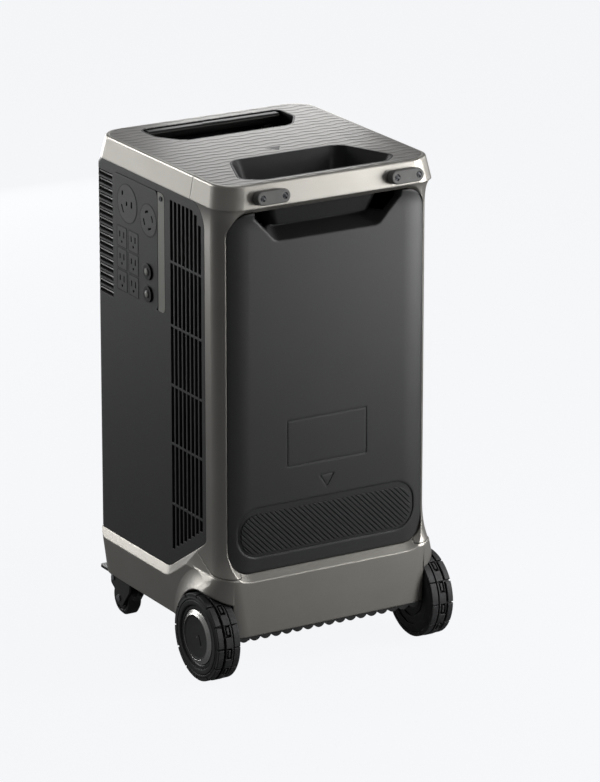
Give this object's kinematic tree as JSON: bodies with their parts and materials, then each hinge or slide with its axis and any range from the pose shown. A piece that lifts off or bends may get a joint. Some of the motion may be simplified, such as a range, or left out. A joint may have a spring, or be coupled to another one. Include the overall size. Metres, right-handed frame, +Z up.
{
  "type": "wheeled power station",
  "caption": "Tall wheeled battery power station with outlets on its side, a folding trolley handle, large rear wheels and braked front casters.",
  "frame": {"origin": "on the floor, midway between the large wheels' rear and the brake pedals' tips, on the centre plane", "axes": "+Z up, +X to the right and -X to the outlet side, -Y to the rear with the large wheels, +Y to the front with the display and casters"},
  "size_m": [0.38, 0.395, 0.702],
  "materials": {
    "painted_silver": "satin paint",
    "top_deck": "fine waved texture, matte",
    "charcoal_cover": "fine grain, matte",
    "dark_liner": "matte",
    "handle_metal": "satin",
    "button_plastic": "satin",
    "pad_rubber": "matte",
    "screw_steel": "dark satin",
    "outlet_plastic": "satin",
    "trim_strip": "satin",
    "smoked_window": "gloss",
    "circuit_board": "satin",
    "steel_tray": "satin",
    "battery_case": "satin",
    "inverter_case": "satin",
    "fan_plastic": "satin",
    "tyre_rubber": "matte",
    "rim_plastic": "satin",
    "bright_ring": "satin",
    "black_steel": "satin black"
  },
  "bodies": {
    "station": {"arch_liners": "dark_liner", "base_shell": "painted_silver", "battery_modules": "battery_case", "breaker_collars": "button_plastic", "bumper_pads": "pad_rubber", "bumper_screws": "screw_steel", "caster_plates": "steel_tray", "chassis_tray": "steel_tray", "display_board": "circuit_board", "display_lens": "smoked_window", "duplex_receptacles": "outlet_plastic", "fan_frames": "fan_plastic", "front_panel": "charcoal_cover", "grip_liner": "dark_liner", "handle_liner": "dark_liner", "handle_outer_tubes": "handle_metal", "inverter_module": "inverter_case", "left_panel": "charcoal_cover", "locking_receptacle": "outlet_plastic", "outlet_plate": "outlet_plastic", "outlet_strip": "trim_strip", "port_block": "dark_liner", "rear_frame": "painted_silver", "rear_panel": "charcoal_cover", "ribbed_pad": "dark_liner", "right_panel": "charcoal_cover", "round_receptacle": "outlet_plastic", "strip_screw": "screw_steel", "top_frame": "painted_silver", "top_plate": "top_deck", "tread_strip": "dark_liner", "vent_screens": "dark_liner", "wheel_axles": "screw_steel"},
    "left_wheel": {"left_tyre": "tyre_rubber", "left_rim": "rim_plastic", "left_trim_ring": "bright_ring", "left_hub_cap": "rim_plastic"},
    "right_wheel": {"right_tyre": "tyre_rubber", "right_rim": "rim_plastic", "right_trim_ring": "bright_ring", "right_hub_cap": "rim_plastic"},
    "left_caster": {"left_caster_fork": "black_steel", "left_caster_pins": "screw_steel"},
    "right_caster": {"right_caster_fork": "black_steel", "right_caster_pins": "screw_steel"},
    "left_roller": {"left_caster_roller": "tyre_rubber"},
    "right_roller": {"right_caster_roller": "tyre_rubber"},
    "left_pedal": {"left_brake_pedal": "black_steel"},
    "right_pedal": {"right_brake_pedal": "black_steel"},
    "handle_middle": {"handle_middle_tubes": "handle_metal"},
    "handle_upper": {"handle_inner_tubes": "handle_metal", "handle_grip": "handle_metal"},
    "release": {"release_button": "button_plastic"},
    "power_key": {"power_button": "button_plastic"},
    "ac_key": {"ac_button": "button_plastic"},
    "dc_key": {"dc_button": "button_plastic"},
    "upper_breaker": {"upper_breaker_button": "button_plastic"},
    "lower_breaker": {"lower_breaker_button": "button_plastic"},
    "left_fan": {"left_fan_rotor": "fan_plastic"},
    "right_fan": {"right_fan_rotor": "fan_plastic"}
  },
  "joints": [
    {"name": "left_wheel_spin", "type": "hinge", "parent": "station", "child": "left_wheel", "pos_m": [-0.171, -0.1355, 0.062], "axis": [1, 0, 0], "continuous": true},
    {"name": "left_swivel", "type": "hinge", "parent": "station", "child": "left_caster", "pos_m": [-0.143, 0.123, 0.062], "axis": [0, 0, 1], "continuous": true},
    {"name": "left_roller_spin", "type": "hinge", "parent": "left_caster", "child": "left_roller", "pos_m": [-0.143, 0.143, 0.025], "axis": [1, 0, 0], "continuous": true},
    {"name": "left_brake_lift", "type": "hinge", "parent": "left_caster", "child": "left_pedal", "pos_m": [-0.143, 0.159, 0.051], "axis": [1, 0, 0], "range_deg": [0, 7]},
    {"name": "left_fan_spin", "type": "hinge", "parent": "station", "child": "left_fan", "pos_m": [-0.138, -0.072, 0.466], "axis": [1, 0, 0], "continuous": true},
    {"name": "right_wheel_spin", "type": "hinge", "parent": "station", "child": "right_wheel", "pos_m": [0.171, -0.1355, 0.062], "axis": [1, 0, 0], "continuous": true},
    {"name": "right_swivel", "type": "hinge", "parent": "station", "child": "right_caster", "pos_m": [0.143, 0.123, 0.062], "axis": [0, 0, 1], "continuous": true},
    {"name": "right_roller_spin", "type": "hinge", "parent": "right_caster", "child": "right_roller", "pos_m": [0.143, 0.143, 0.025], "axis": [1, 0, 0], "continuous": true},
    {"name": "right_brake_lift", "type": "hinge", "parent": "right_caster", "child": "right_pedal", "pos_m": [0.143, 0.159, 0.051], "axis": [1, 0, 0], "range_deg": [0, 7]},
    {"name": "right_fan_spin", "type": "hinge", "parent": "station", "child": "right_fan", "pos_m": [0.138, -0.072, 0.466], "axis": [1, 0, 0], "continuous": true},
    {"name": "handle_lower_slide", "type": "slide", "parent": "station", "child": "handle_middle", "axis": [0, 0, 1], "range_m": [0, 0.19]},
    {"name": "handle_upper_slide", "type": "slide", "parent": "handle_middle", "child": "handle_upper", "axis": [0, 0, 1], "range_m": [0, 0.19]},
    {"name": "release_press", "type": "slide", "parent": "handle_upper", "child": "release", "axis": [0, 0, -1], "range_m": [0, 0.0015], "stiffness_N_per_m": 400},
    {"name": "power_press", "type": "slide", "parent": "station", "child": "power_key", "axis": [0, -1, 0], "range_m": [0, 0.0014], "stiffness_N_per_m": 400},
    {"name": "ac_press", "type": "slide", "parent": "station", "child": "ac_key", "axis": [0, -1, 0], "range_m": [0, 0.0014], "stiffness_N_per_m": 400},
    {"name": "dc_press", "type": "slide", "parent": "station", "child": "dc_key", "axis": [0, -1, 0], "range_m": [0, 0.0014], "stiffness_N_per_m": 400},
    {"name": "upper_breaker_trip", "type": "slide", "parent": "station", "child": "upper_breaker", "axis": [-1, 0, 0], "range_m": [0, 0.0025]},
    {"name": "lower_breaker_trip", "type": "slide", "parent": "station", "child": "lower_breaker", "axis": [-1, 0, 0], "range_m": [0, 0.0025]}
  ]
}
